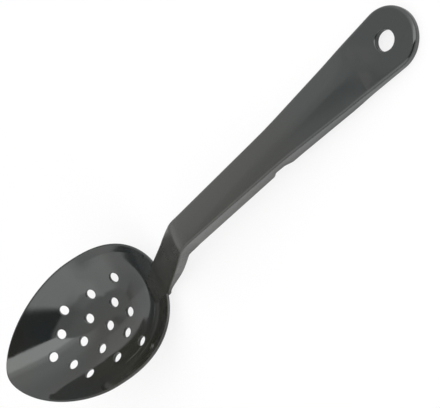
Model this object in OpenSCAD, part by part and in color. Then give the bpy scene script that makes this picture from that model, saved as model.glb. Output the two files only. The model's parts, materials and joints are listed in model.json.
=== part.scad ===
// Perforated serving spoon: a deep oval bowl, a steep offset neck and a hollow-backed handle.
// The real spoon is one moulding. Each region of that moulding is a solid of its own here,
// and the regions meet face to face.
// The spoon is drawn with its rim level, then laid down as it rests on a table:
// on the underside of its bowl and on the tip of its handle.

/* [Bowl] */
// Length of the rim from its tip to the neck
bowl_l = 105; // [90:1:120]
// Width of the rim at its widest
bowl_w = 69.6; // [56:0.2:80]
// Distance of the widest place from the tip
bowl_widest = 57.5; // [50:0.5:62]
// Depth of the inside below the rim
bowl_depth = 19.5; // [14:0.5:26]
// Distance of the deepest place from the tip
bowl_deepest = 56; // [48:0.2:62]
// Thickness of the floor at its deepest place
bowl_wall = 2.3; // [1.6:0.1:3]
// Width of the flat land on top of the rim
rim_land = 1.2; // [0.8:0.1:1.8]
// Thickness of the rim's band at its foot
rim_w = 2.2; // [1.8:0.1:3]
// Height of the band, whose outer side stands upright
rim_h = 1.4; // [1:0.1:3]

/* [Drain holes] */
// Diameter of each drain hole
hole_d = 5.1; // [3:0.1:6]
// Distance of the first hole of the middle row from the tip
hole_first = 22; // [20:0.5:26]
// Distance between holes along a row
hole_pitch = 17.3; // [12:0.1:18]
// Distance of the inner rows from the middle row
row_inner = 8.75; // [7:0.25:10]
// Distance of the outer rows from the middle row
row_outer = 18.2; // [16:0.2:20]
// How far the holes lean from upright towards square to the floor
hole_lean_share = 0.5; // [0:0.1:1]

/* [Neck] */
// Height of the corner between neck and handle above the rim
neck_rise = 35.3; // [25:0.1:45]
// Distance of that corner from the end of the bowl
neck_run = 29.8; // [22:0.1:36]
// Distance from the end of the bowl to where the neck's face meets the rim
neck_set = 2; // [1.6:0.1:2.2]
// Width of the neck where it leaves the rim
neck_base_w = 17.6; // [13:0.2:19]
// Width of the neck halfway up
neck_mid_w = 16.1; // [11:0.1:18]
// Radius of the bend from neck to handle, along its top
bend_r = 16; // [12:0.5:24]
// Depth of the neck's side walls, from the top face down
neck_wall_h = 5.8; // [4:0.1:8]
// Depth of the neck's side walls where they run out on the rim
neck_base_h = 2.9; // [2.8:0.1:4]
// How much deeper the side walls are inside the bend than where the handle starts
bend_extra_h = 0.7; // [0:0.1:1.5]
// How far the hollow sweep below the neck reaches into the bowl
root_l = 12.8; // [8:0.2:14]
// Depth of that sweep's hollow below a straight line between its ends
root_hollow = 0.3; // [0:0.1:0.8]

/* [Handle] */
// Slope of the handle above the plane of the rim
handle_angle = 19.7; // [10:0.1:26]
// Length from the bend's corner to the centre of the round end
handle_l = 128.76; // [110:0.02:150]
// Width at the bend
handle_front_w = 13.6; // [10:0.2:20]
// Width where the handle starts to flare
handle_mid_w = 15.5; // [12:0.1:22]
// Distance from the bend's corner to the start of the flare
flare_start = 68; // [60:1:80]
// Thickness of the top plate
deck_t = 2.4; // [2.3:0.1:3]
// Thickness of the side walls
wall_t = 2.2; // [1.6:0.1:3]
// Radius along the top edges
edge_r = 1.3; // [1:0.1:2]
// Rise of the top face in its middle
crown = 0.4; // [0:0.1:0.6]
// How far the foot of a side wall stands out beyond its top
wall_splay = 0.3; // [0:0.1:0.6]
// Depth of the side walls at the bend
wall_front_h = 9.6; // [7:0.1:12]
// Depth of the side walls just before the pan notch
wall_mid_h = 7.6; // [6:0.1:10]
// Depth of the side walls just behind the pan notch
wall_rear_h = 7.9; // [6:0.1:10]

/* [Pan notch] */
// Distance of the notch's middle from the bend's corner
notch_at = 62.2; // [50:0.1:70]
// Length of the notch along the wall
notch_l = 12; // [8:0.5:16]
// Depth of the notch
notch_depth = 2.3; // [1:0.1:3]
// Length of each rounded flank of the notch
notch_flank = 4; // [2:0.5:5]

/* [Hang end] */
// Radius of the round end
end_r = 11.6; // [10:0.1:15]
// Thickness at the tip
end_t = 3.2; // [2.8:0.1:5]
// Length of the flat part in front of the round end's centre
end_flat_l = 15; // [11:0.5:20]
// Thickness of the plate around the hang hole
hang_t = 2.9; // [2.6:0.1:3.1]
// Diameter of the hang hole
hang_d = 7.6; // [5:0.1:10]
// Distance from the tip to the centre of the hang hole
hang_in = 12.1; // [10:0.1:14]

/* [Hidden] */
moulded_colour = [0.27, 0.28, 0.27];
// Roundness of the rim's outline: powers of a superellipse, in front of and behind the widest place
tip_long_power = 1.77;
tip_side_power = 1.64;
rear_long_power = 2.57;
rear_side_power = 2.07;
// Powers of the floor's rise: towards the tip, towards the neck and towards the sides
floor_tip_power = 2.15;
floor_rear_power = 2.45;
floor_side_power = 2.05;
// The last hole of the middle row stands closer to its neighbour, as a share of the pitch
last_gap_share = 0.845;
// The neck's side walls and crown are fully grown at these shares of the way up to the corner
neck_grown_share = 0.55;
crown_grown_share = 0.5;
// The side walls reach their extra depth at the first share of the bend and keep it to the second
bend_grown_share = 0.43;
bend_kept_share = 0.75;
// Steps of the drawn curves
outline_steps = 16;
ring_steps = 10;
fillet_steps = 5;
crown_steps = 4;
neck_steps = 9;
bend_steps = 6;
handle_steps = 26;
end_steps = 12;
root_steps = 8;
round_steps = 48;
// A cut runs past the surface that it opens by this much
overrun = 1;

function lerp(a, b, t) = a + (b - a) * t;
function clamp(t) = max(0, min(1, t));
function smooth(t) = let(c = clamp(t)) c * c * (3 - 2 * c);

// Bowl

// Points of the rim's outline, set in from the outer edge by the given inset
function outline(inset) =
    let(long_tip = bowl_widest - inset, long_rear = bowl_l - bowl_widest - inset,
        side = bowl_w / 2 - inset,
        rear_half = [for (i = [0:outline_steps]) let(a = 90 * i / outline_steps)
            [bowl_widest + long_rear * pow(cos(a), 2 / rear_long_power),
             side * pow(sin(a), 2 / rear_side_power)]],
        tip_half = [for (i = [1:outline_steps]) let(a = 90 - 90 * i / outline_steps)
            [bowl_widest - long_tip * pow(cos(a), 2 / tip_long_power),
             side * pow(sin(a), 2 / tip_side_power)]],
        upper = concat(rear_half, tip_half))
    concat(upper, [for (i = [len(upper) - 2:-1:1]) [upper[i][0], -upper[i][1]]]);

// Half the width of that outline at a distance x from the tip
function outline_half(x, inset) =
    let(side = bowl_w / 2 - inset,
        u = x < bowl_widest ? (bowl_widest - x) / (bowl_widest - inset)
                            : (x - bowl_widest) / (bowl_l - bowl_widest - inset),
        long_power = x < bowl_widest ? tip_long_power : rear_long_power,
        side_power = x < bowl_widest ? tip_side_power : rear_side_power)
    side * pow(1 - pow(clamp(u), long_power), 1 / side_power);

// Height of a floor of the given depth, whose edge is that outline at the foot of the rim's band
function floor_z(x, y, inset, depth) =
    let(half = outline_half(x, inset),
        across = half > 0 ? clamp(abs(y) / half) : 1,
        u = x < bowl_deepest ? (bowl_deepest - x) / (bowl_deepest - inset)
                             : (x - bowl_deepest) / (bowl_l - bowl_deepest - inset),
        fall = 1 - pow(clamp(u), x < bowl_deepest ? floor_tip_power : floor_rear_power))
    -rim_h - (depth - rim_h) * fall * (1 - pow(across, floor_side_power));

// Rings of points from the outline down to the deepest place, which is the last point
function floor_points(inset, depth) =
    let(edge = outline(inset), centre = [bowl_deepest, 0])
    concat([for (k = [0:ring_steps - 1], p = edge)
                let(q = centre + (p - centre) * cos(90 * k / ring_steps))
                [q[0], q[1], k == 0 ? -rim_h : floor_z(q[0], q[1], inset, depth)]],
           [[bowl_deepest, 0, -depth]]);

outer_points = floor_points(0, bowl_depth + bowl_wall);
inner_points = floor_points(rim_w, bowl_depth);
ring_n = 4 * outline_steps;

// Triangles of such a floor, seen from below or from above
function floor_faces(start, flip) =
    let(last = start + ring_steps * ring_n)
    concat([for (k = [0:ring_steps - 2], j = [0:ring_n - 1], h = [0, 1])
                let(a = start + k * ring_n + j, b = start + k * ring_n + (j + 1) % ring_n,
                    c = a + ring_n, d = b + ring_n,
                    t = h == 0 ? [a, c, b] : [b, c, d])
                flip ? [t[0], t[2], t[1]] : t],
           [for (j = [0:ring_n - 1])
                let(a = last - ring_n + j, b = last - ring_n + (j + 1) % ring_n)
                flip ? [a, b, last] : [a, last, b]]);

// Triangles of the strip from one ring of points to another
function strip_faces(start, next) =
    [for (j = [0:ring_n - 1], h = [0, 1])
        let(a = start + j, b = start + (j + 1) % ring_n,
            c = next + j, d = next + (j + 1) % ring_n)
        h == 0 ? [a, b, c] : [b, d, c]];
// The outline with that inset, at a height
function level_ring(inset, z) = [for (p = outline(inset)) [p[0], p[1], z]];

// The shell under the band: outer floor, inner floor and the seat of the band
module bowl_shell() {
    polyhedron(concat(outer_points, inner_points),
               concat(floor_faces(0, false), floor_faces(len(outer_points), true),
                      strip_faces(0, len(outer_points))));
}

// The inside of the bowl as a solid, up to the plane of the rim
module bowl_inside() {
    polyhedron(concat(level_ring(rim_land, 0), inner_points),
               concat([[for (j = [ring_n - 1:-1:0]) j]],
                      strip_faces(0, ring_n), floor_faces(ring_n, false)));
}

// Places of the drain holes: a middle row of four and staggered rows beside it
function hole_places() =
    concat([for (i = [0:2]) [hole_first + i * hole_pitch, 0]],
           [[hole_first + (2 + last_gap_share) * hole_pitch, 0]],
           [for (i = [0:2], side = [-1, 1])
               [hole_first + (i + 1 / 2) * hole_pitch, side * row_inner]],
           [for (i = [1:3], side = [-1, 1]) [hole_first + i * hole_pitch, side * row_outer]]);

// One drain hole, leaning part of the way to the floor's own normal
module drain_hole(p) {
    reach = bowl_wall * 2;
    dx = (floor_z(p[0] + overrun, p[1], rim_w, bowl_depth)
        - floor_z(p[0] - overrun, p[1], rim_w, bowl_depth)) / (2 * overrun);
    dy = (floor_z(p[0], p[1] + overrun, rim_w, bowl_depth)
        - floor_z(p[0], p[1] - overrun, rim_w, bowl_depth)) / (2 * overrun);
    lean_x = atan(dy) * hole_lean_share;
    lean_y = -atan(dx) * hole_lean_share;
    translate([p[0], p[1], floor_z(p[0], p[1], rim_w, bowl_depth)])
        rotate([lean_x, lean_y, 0])
            translate([0, 0, -bowl_wall / 2 - reach])
                cylinder(d = hole_d, h = 2 * reach, $fn = round_steps);
}

// Neck and handle: one path in the side view, along the middle of the top face

corner = [bowl_l + neck_run, neck_rise];
neck_foot = [bowl_l - neck_set, 0];
neck_angle = atan2(corner[1] - neck_foot[1], corner[0] - neck_foot[0]);
neck_l = norm(corner - neck_foot);
bend_back = bend_r * tan((neck_angle - handle_angle) / 2);
function along(a) = [cos(a), sin(a)];
function square_to(a) = [-sin(a), cos(a)];
bend_centre = corner + bend_back * along(handle_angle) - bend_r * square_to(handle_angle);

// Half the angle by which each flared side opens, from its start to the round end
flare_reach = norm([handle_l - flare_start, handle_mid_w / 2]);
flare_angle = asin(end_r / flare_reach) - atan2(handle_mid_w / 2, handle_l - flare_start);
// Half the width at a distance s along the handle
function half_w(s) =
    s < flare_start ? lerp(handle_front_w, handle_mid_w, s / flare_start) / 2
                    : handle_mid_w / 2 + (s - flare_start) * tan(flare_angle);
end_start = handle_l - end_flat_l;
handle_tip = handle_l + end_r;

// Depth of the side walls, without and with the pan notch
function plain_h(s) =
    s < notch_at ? lerp(wall_front_h, wall_mid_h, s / (notch_at - notch_l / 2))
                 : lerp(wall_rear_h, end_t, (s - notch_at - notch_l / 2)
                                            / (handle_tip - notch_at - notch_l / 2));
function notch_cut(s) =
    notch_depth * smooth((s - notch_at + notch_l / 2) / notch_flank)
                * smooth((notch_at + notch_l / 2 - s) / notch_flank);
function wall_h(s) = plain_h(s) - notch_cut(s);
// The crown and the walls' splay fade out towards the flat round end
function fullness(s) = 1 - smooth((s - flare_start) / (end_start - flare_start));

// A station is [place, direction, half width, wall depth, fullness of crown and splay]
function neck_station(q) =
    let(t = q / neck_l, upper = clamp(2 * t - 1))
    [neck_foot + q * along(neck_angle), neck_angle,
     lerp(lerp(neck_base_w, neck_mid_w, clamp(2 * t)), handle_front_w, upper * upper) / 2,
     lerp(neck_base_h, neck_wall_h, smooth(t / neck_grown_share)), smooth(t / crown_grown_share)];
function bend_station(t) =
    let(a = lerp(neck_angle, handle_angle, t), foot = neck_station(neck_l - bend_back),
        extra = bend_extra_h * smooth((1 - t) / (1 - bend_kept_share)))
    [bend_centre + bend_r * square_to(a), a, lerp(foot[2], half_w(bend_back), t),
     lerp(foot[3], wall_h(bend_back) + extra, smooth(t / bend_grown_share)), 1];
function handle_station(s) =
    [corner + s * along(handle_angle), handle_angle, half_w(s), wall_h(s), fullness(s)];

neck_stations =
    concat([for (i = [0:neck_steps - 1]) neck_station((neck_l - bend_back) * i / neck_steps)],
           [for (i = [0:bend_steps]) bend_station(i / bend_steps)]);
handle_stations =
    [for (i = [0:handle_steps]) handle_station(lerp(bend_back, end_start, i / handle_steps))];

// A point of a station, y to the left and n square to the top face
function placed(st, y, n) =
    let(p = st[0] + n * square_to(st[1])) [p[0], y, p[1]];

// Half of the top plate's outline, from its lower corner over the rounded edge to the middle
function deck_half(w, rise) =
    concat([[w, -deck_t]],
           [for (i = [0:fillet_steps]) let(a = 90 * i / fillet_steps)
               [w - edge_r + edge_r * cos(a), -rise - edge_r + edge_r * sin(a)]],
           [for (i = [1:crown_steps]) let(t = 1 - i / crown_steps)
               [(w - edge_r) * t, -rise * t * t]]);
function deck_section(st) =
    let(half = deck_half(st[2], crown * st[4]))
    concat(half, [for (i = [len(half) - 2:-1:0]) [-half[i][0], half[i][1]]]);
// Outline of a side wall, on the side that is given
function wall_section(st, side) =
    let(w = st[2], h = max(st[3], deck_t + overrun / 10), splay = wall_splay * st[4])
    [for (p = [[w - wall_t, -deck_t], [w, -deck_t], [w + splay, -h], [w - wall_t + splay, -h]])
        [side * p[0], p[1]]];

// A closed solid through the sections at the stations
module sweep(stations, sections, flip) {
    n = len(sections[0]);
    last = len(stations) - 1;
    points = [for (i = [0:last], p = sections[i]) placed(stations[i], p[0], p[1])];
    sides = [for (i = [0:last - 1], j = [0:n - 1], h = [0, 1])
        let(a = i * n + j, b = i * n + (j + 1) % n, c = a + n, d = b + n)
        h == 0 ? [a, b, c] : [b, d, c]];
    ends = [[for (j = [n - 1:-1:0]) j], [for (j = [0:n - 1]) last * n + j]];
    faces = concat(sides, ends);
    polyhedron(points, flip ? [for (f = faces) [for (i = [len(f) - 1:-1:0]) f[i]]] : faces);
}

module deck(stations) {
    sweep(stations, [for (st = stations) deck_section(st)], false);
}
module side_wall(stations, side) {
    sweep(stations, [for (st = stations) wall_section(st, side)], side > 0);
}

// The space under the rim's plane, which trims the foot of the neck
module rim_slab() {
    translate([0, 0, -neck_base_h])
        linear_extrude(neck_base_h)
            polygon(outline(0));
}

// Hang end: outlines stacked from the flat top over the rounded edge down to the underside

function end_outline(inset) =
    let(side = [for (i = [0:end_steps]) let(a = lerp(90 + flare_angle, 0, i / end_steps))
            [handle_l + (end_r - inset) * cos(a), (end_r - inset) * sin(a)]],
        start = [end_start, half_w(end_start) - inset / cos(flare_angle)],
        half = concat([start], side))
    concat(half, [for (i = [len(half) - 2:-1:0]) [half[i][0], -half[i][1]]]);
end_sides = [for (i = [fillet_steps:-1:0]) let(a = 90 * i / fillet_steps)
    [edge_r - edge_r * cos(a), -edge_r + edge_r * sin(a)]];
function end_point(p, n) =
    let(q = corner + p[0] * along(handle_angle) + n * square_to(handle_angle)) [q[0], p[1], q[1]];
end_points =
    concat([for (layer = end_sides, p = end_outline(layer[0])) end_point(p, layer[1])],
           [for (p = end_outline(0)) end_point(p, -plain_h(p[0]))]);
module hang_plate() {
    n = len(end_outline(0));
    layers = len(end_sides);
    polyhedron(end_points, concat(
        [[for (j = [0:n - 1]) j]],
        [for (k = [0:layers - 1], j = [0:n - 1], h = [0, 1])
            let(a = k * n + j, b = k * n + (j + 1) % n, c = a + n, d = b + n)
            h == 0 ? [a, c, b] : [b, c, d]],
        [[for (j = [n - 1:-1:0]) layers * n + j]]));
}
hang_at = handle_tip - hang_in;
// The hollow under the handle runs on below the plate, inside the skirt of the round end
module hang_hollow() {
    depth = wall_rear_h;
    edge = end_outline(wall_t);
    start = [for (side = [1, -1]) [end_start - overrun, side * edge[0][1]]];
    translate([corner[0], 0, corner[1]])
        rotate([0, -handle_angle, 0])
            translate([0, 0, -hang_t - depth])
                linear_extrude(depth)
                    polygon(concat([start[0]], edge, [start[1]]));
}

// Rest: the floor is the lowest plane that the bowl's underside and the handle's tip stand on

heel = end_point([handle_tip, 0], -end_t);
rest_angle = atan(max([for (p = outer_points) (heel[2] - p[2]) / (heel[0] - p[0])]));
function laid_x(p) = p[0] * cos(rest_angle) + p[2] * sin(rest_angle);
rest_lift = heel[0] * sin(rest_angle) - heel[2] * cos(rest_angle);
rear_x = max([for (p = end_points) laid_x(p)]);
front_x = min([for (p = outer_points) laid_x(p)]);
module laid() {
    translate([-(front_x + rear_x) / 2, 0, rest_lift])
        rotate([0, rest_angle, 0])
            children();
}

module bowl() {
    color(moulded_colour)
        laid()
            difference() {
                bowl_shell();
                for (p = hole_places()) drain_hole(p);
            }
}

// A ring with a flat land, whose inner side leans towards the bowl
module bowl_rim() {
    rings = [level_ring(0, 0), level_ring(rim_land, 0),
             level_ring(rim_w, -rim_h), level_ring(0, -rim_h)];
    color(moulded_colour)
        laid()
            polyhedron([for (ring = rings, p = ring) p],
                       [for (k = [0:len(rings) - 1],
                             t = strip_faces(k * ring_n, (k + 1) % len(rings) * ring_n)) t]);
}

// The hollow sweep on which the neck's face runs down into the bowl
module neck_root() {
    root_x = neck_foot[0] - root_l;
    root_end = [root_x, floor_z(root_x, 0, rim_w, bowl_depth)];
    fall = atan2(neck_foot[1] - root_end[1], root_l);
    sweep_line = [for (i = [0:root_steps]) let(t = i / root_steps)
        lerp(neck_foot, root_end, t) - 4 * t * (1 - t) * root_hollow * square_to(fall)];
    below = [root_x, -bowl_depth];
    beyond = [bowl_l, -bowl_depth];
    color(moulded_colour)
        laid()
            intersection() {
                bowl_inside();
                translate([0, neck_base_w / 2, 0])
                    rotate([90, 0, 0])
                        linear_extrude(neck_base_w)
                            polygon(concat([beyond, [bowl_l, 0]], sweep_line, [below]));
            }
}

module neck_deck() {
    color(moulded_colour)
        laid()
            difference() {
                deck(neck_stations);
                rim_slab();
            }
}

module neck_wall(side) {
    color(moulded_colour)
        laid()
            difference() {
                side_wall(neck_stations, side);
                rim_slab();
            }
}
module neck_wall_left() { neck_wall(1); }
module neck_wall_right() { neck_wall(-1); }

module handle_deck() {
    color(moulded_colour) laid() deck(handle_stations);
}
module handle_wall_left() {
    color(moulded_colour) laid() side_wall(handle_stations, 1);
}
module handle_wall_right() {
    color(moulded_colour) laid() side_wall(handle_stations, -1);
}

module hang_end() {
    middle = end_point([hang_at, 0], 0);
    color(moulded_colour)
        laid()
            difference() {
                hang_plate();
                hang_hollow();
                translate(middle)
                    rotate([0, -handle_angle, 0])
                        translate([0, 0, -hang_t - overrun])
                            cylinder(d = hang_d, h = hang_t + 2 * overrun, $fn = round_steps);
            }
}

bowl();
bowl_rim();
neck_root();
neck_deck();
neck_wall_left();
neck_wall_right();
handle_deck();
handle_wall_left();
handle_wall_right();
hang_end();
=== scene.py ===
"""A perforated serving spoon as one smooth black moulding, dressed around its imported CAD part.

The spoon is drawn in millimetres with its rim level, the tip of its bowl at the origin and its
handle towards +X. Every piece is then laid down as the CAD part rests, in metres.
"""
import json
import math

import bmesh
import bpy
import numpy as np
from mathutils import Matrix, Vector
from mathutils.geometry import delaunay_2d_cdt


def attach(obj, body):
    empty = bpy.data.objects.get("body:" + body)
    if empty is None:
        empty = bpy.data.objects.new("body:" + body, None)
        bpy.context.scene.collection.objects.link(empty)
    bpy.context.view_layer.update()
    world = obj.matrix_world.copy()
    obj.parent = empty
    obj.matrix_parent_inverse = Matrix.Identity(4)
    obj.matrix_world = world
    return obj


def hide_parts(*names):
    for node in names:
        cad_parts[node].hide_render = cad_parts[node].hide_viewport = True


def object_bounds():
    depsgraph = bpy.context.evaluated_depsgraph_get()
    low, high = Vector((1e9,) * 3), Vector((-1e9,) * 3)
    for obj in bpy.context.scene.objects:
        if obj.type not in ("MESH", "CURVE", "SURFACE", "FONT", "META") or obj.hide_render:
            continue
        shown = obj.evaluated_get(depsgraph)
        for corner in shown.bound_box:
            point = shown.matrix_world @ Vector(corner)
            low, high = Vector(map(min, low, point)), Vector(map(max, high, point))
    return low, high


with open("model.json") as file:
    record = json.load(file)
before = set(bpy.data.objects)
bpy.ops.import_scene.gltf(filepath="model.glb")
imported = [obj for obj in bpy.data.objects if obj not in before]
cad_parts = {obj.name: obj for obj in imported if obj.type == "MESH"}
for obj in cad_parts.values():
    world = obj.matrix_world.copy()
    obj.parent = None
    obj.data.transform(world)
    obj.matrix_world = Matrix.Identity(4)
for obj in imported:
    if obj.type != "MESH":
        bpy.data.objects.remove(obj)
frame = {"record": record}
CAD_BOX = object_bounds()
MM = 0.001
BODY = "root"

# Bowl
BOWL_L = 105.0
BOWL_W = 69.6
BOWL_WIDEST = 57.5
BOWL_DEEPEST = 56.0
BOWL_DEPTH = 19.5
BOWL_WALL = 2.2
# Power of the floor's rise towards the sides. Rear and tip change it by these amounts, which
# follow the direction's cosine to these powers.
RISE_POWER = 2.05
REAR_RISE = (0.4, 6)
TIP_RISE = (0.25, 1.2)
TIP_RISE_CUT = (0.155, 40)
# Outside its drain holes, except towards the tip, the inner floor sags a little below its curve
BOWL_SAG = 0.5
SAG_START_SHARE = 0.52
SAG_LAST_COSINE = -0.55
# The floor's slope runs on up to the land, which is no narrower and no wider than this
LEAST_LAND = 0.6
MOST_LAND = 1.2
RIM_W = 2.2
RIM_H = 1.4
# Powers of the outline's superellipse, along the spoon and across it
TIP_POWERS = (1.77, 1.64)
REAR_POWERS = (2.57, 2.07)
# The outline's quarters are blended into each other over about this angle, in radians
OUTLINE_BLEND = 0.06
OUTLINE_SAMPLES = 1440
SPOKES = 288
# Radii of the lip's edges, and where it bends into the floor inside and outside
LIP_INNER_R = 0.5
LIP_OUTER_R = 0.35
LIP_INSIDE = 1.8
LIP_OUTSIDE = 1.2
LIP_BAND = 0.8
# Steps of the lip's curves: the inner bend, the two edges and the outer bend
LIP_STEPS = (10, 6, 7, 6)
# Distance of the points over the floors, and their least distance from the edge as its share
FLOOR_STEP = 1.3
EDGE_CLEAR_SHARE = 0.7
# Distance over which a slope is read, and the rounds in which a point is moved onto a floor
SLOPE_STEP = 0.02
SURFACE_ROUNDS = 12
# Distance below which the triangulation takes two points for one
CDT_EPSILON = 1e-7

# Drain holes
HOLE_D = 5.1
HOLE_FIRST = 22.0
HOLE_PITCH = 17.3
ROW_INNER = 8.75
ROW_OUTER = 18.2
LAST_GAP_SHARE = 0.845
# Share of the floor's slope by which a hole's axis leans
HOLE_LEAN_SHARE = 0.5
HOLE_ROUND = 0.35
HOLE_STEPS = 44
ROUND_STEPS = 5
# A ring of the floor's points lies round each hole at this distance
HOLE_RING_GAP = 0.5

# Neck: the rise and the run of its bend's corner above and behind the bowl's end. Its foot is
# set inside that end.
NECK_RISE = 35.3
NECK_RUN = 29.8
NECK_SET = 2.0
NECK_BASE_W = 17.6
NECK_MID_W = 16.1
BEND_R = 16.0
# Depth of the side walls, from the base until they are fully grown at this share of the neck
NECK_BASE_H = 2.9
NECK_WALL_H = 5.8
NECK_GROWN_SHARE = 0.55
# In front of the bend's end, the foot of the handle's side walls rises by this slope, until it
# meets the foot of the neck's. The two blend where their depths differ by less than this.
FOOT_SLOPE = 0.115
FOOT_BLEND = 1.0
# The neck spreads by this much on each side over the last millimetres above the rim
BASE_FLARE = 0.5
BASE_FLARE_L = 3.5
# Hollow sweep from the neck's foot into the bowl, whose end dips into the floor. Its section
# reaches below its plate by the skirt.
ROOT_R = 62.0
ROOT_L = 18.5
ROOT_END_L = 3.4
ROOT_DIP = 0.9
ROOT_END_W = 11.5
ROOT_DEPTH = 0.9
ROOT_SKIRT = 0.1
ROOT_EDGE_R = 0.5
ROOT_EASE = 4.0

# Handle
HANDLE_ANGLE = math.radians(19.7)
HANDLE_L = 128.76
HANDLE_FRONT_W = 13.6
HANDLE_MID_W = 15.5
FLARE_START = 68.0
FLARE_BLEND = 2.5
DECK_T = 2.4
WALL_T = 2.2
EDGE_R = 1.3
# The top's rise in the middle, which fades out over this length before the flat end
CROWN = 0.4
CROWN_FADE = 12.0
# The side walls spread by this much on each side towards their feet
WALL_SPLAY = 0.3
WALL_FRONT_H = 9.6
WALL_MID_H = 7.6
WALL_REAR_H = 7.9
FOOT_R = 0.9
INNER_R = 1.0
# Share of a low wall that its foot and its inner corner may each take, and the lowest wall
ROUND_SHARE = 0.45
LEAST_WALL = 0.02
# Steps of a cross-section: its crown, upper edge, side, foot, inner side with its two rounds,
# and underside
CROWN_POINTS = 8
EDGE_STEPS = 9
SIDE_STEPS = 5
FOOT_STEPS = 6
INNER_STEPS = 3
INNER_ROUND_STEPS = 5
UNDER_STEPS = 4
# Rounds of the search for the angle at which the crown runs into the edge
LEAN_ROUNDS = 6
# Number of cross-sections: root, spread foot of the neck, neck, bend, and then the handle before,
# in and behind the pan notch and where its plate thickens
ROOT_CUTS = 36
FLARE_CUTS = 8
NECK_CUTS = 24
BEND_CUTS = 13
HANDLE_CUTS = (34, 33, 28, 9)

# Pan notch
NOTCH_AT = 62.2
NOTCH_L = 12.0
NOTCH_DEPTH = 2.3
NOTCH_FLANK = 4.0

# Hang end: flat from this length before the middle of its round, and with a skirt that ends at
# this depth. The plate thickens over the ease before the flat, and the hole is set in from the
# tip.
END_R = 11.6
END_FLAT_L = 15.0
END_T = 3.2
HANG_T = 2.9
HANG_EASE = 6.0
HANG_D = 7.6
HANG_IN = 12.1
HANG_ROUND = 0.5
HANG_STEPS = 64
HANG_ROUND_STEPS = 6
END_ARC_STEPS = 64
END_SIDE_STEPS = 12
SEAM_STEPS = 8

CORNER = np.array([BOWL_L + NECK_RUN, NECK_RISE])
NECK_FOOT = np.array([BOWL_L - NECK_SET, 0.0])
NECK_ANGLE = math.atan2(*(CORNER - NECK_FOOT)[::-1])
NECK_L = math.dist(CORNER, NECK_FOOT)
BEND_BACK = BEND_R * math.tan((NECK_ANGLE - HANDLE_ANGLE) / 2)
FLARE_ANGLE = (math.asin(END_R / math.hypot(HANDLE_L - FLARE_START, HANDLE_MID_W / 2))
               - math.atan2(HANDLE_MID_W / 2, HANDLE_L - FLARE_START))
END_START = HANDLE_L - END_FLAT_L
HANDLE_TIP = HANDLE_L + END_R
HANG_AT = HANDLE_TIP - HANG_IN


def along(angle):
    """Unit vector (x, z) at that slope."""
    return np.array([math.cos(angle), math.sin(angle)])


def square_to(angle):
    """Unit vector (x, z) square to that slope, on its upper side."""
    return np.array([-math.sin(angle), math.cos(angle)])


def lerp(a, b, t):
    """From a to b as t goes from 0 to 1."""
    return a + (b - a) * t


def smooth(t):
    """Eases from 0 to 1 and stays there."""
    t = min(max(t, 0.0), 1.0)
    return t * t * (3 - 2 * t)


def unit(vectors):
    """The vectors along the last axis, at length 1."""
    return vectors / np.linalg.norm(vectors, axis=-1, keepdims=True)


def laid_down():
    """The turn and shift from the drawn spoon to the resting one, in metres.
    The hang hole's place and axis in the frame give both."""
    mount = next(m for m in frame["record"]["mounts"] if m["name"] == "hang_hole")
    axis = mount["axis"]
    rest_angle = HANDLE_ANGLE + math.atan2(axis[0], axis[2])
    turn = Matrix.Rotation(rest_angle, 4, "Y")
    x, z = CORNER + HANG_AT * along(HANDLE_ANGLE) - HANG_T / 2 * square_to(HANDLE_ANGLE)
    drawn = Vector((x, 0, z)) * MM
    return Matrix.Translation(Vector(mount["pos_m"]) - turn @ drawn) @ turn


LAID_DOWN = laid_down()


# Curves in a plane: each is a pair of arrays, its points and its directions


def line(start, end, steps):
    """A straight line between two points."""
    start, end = np.asarray(start, float), np.asarray(end, float)
    t = np.linspace(0, 1, steps + 1)[:, None]
    return start + (end - start) * t, np.repeat((end - start)[None], steps + 1, 0)


def arc(centre, radius, start, end, steps):
    """An arc between two angles in degrees, counted from the first axis to the second."""
    a = np.radians(np.linspace(start, end, steps + 1))
    sign = 1 if end > start else -1
    points = np.asarray(centre) + radius * np.stack([np.cos(a), np.sin(a)], 1)
    return points, sign * np.stack([-np.sin(a), np.cos(a)], 1)


def bezier(start, bend, end, steps):
    """A quadratic curve that leaves start towards bend and reaches end from there."""
    start, bend, end = (np.asarray(p, float) for p in (start, bend, end))
    t = np.linspace(0, 1, steps + 1)[:, None]
    points = start * (1 - t) ** 2 + bend * 2 * t * (1 - t) + end * t ** 2
    return points, 2 * (1 - t) * (bend - start) + 2 * t * (end - bend)


def eased(start, start_slope, end, end_slope, steps):
    """A cubic curve towards the first axis' lower end, with those rises per unit at its ends."""
    start, end = np.asarray(start, float), np.asarray(end, float)
    third = (start[0] - end[0]) / 3
    first = start + third * np.array([-1, start_slope])
    second = end + third * np.array([1, -end_slope])
    t = np.linspace(0, 1, steps + 1)[:, None]
    points = (start * (1 - t) ** 3 + first * 3 * t * (1 - t) ** 2
              + second * 3 * t ** 2 * (1 - t) + end * t ** 3)
    ways = ((first - start) * (1 - t) ** 2 + (second - first) * 2 * t * (1 - t)
            + (end - second) * t ** 2)
    return points, ways


def chain(*curves):
    """Curves that follow each other, without the doubled points."""
    points = [curves[0][0]] + [c[0][1:] for c in curves[1:]]
    ways = [curves[0][1]] + [c[1][1:] for c in curves[1:]]
    return np.concatenate(points), np.concatenate(ways)


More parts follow.
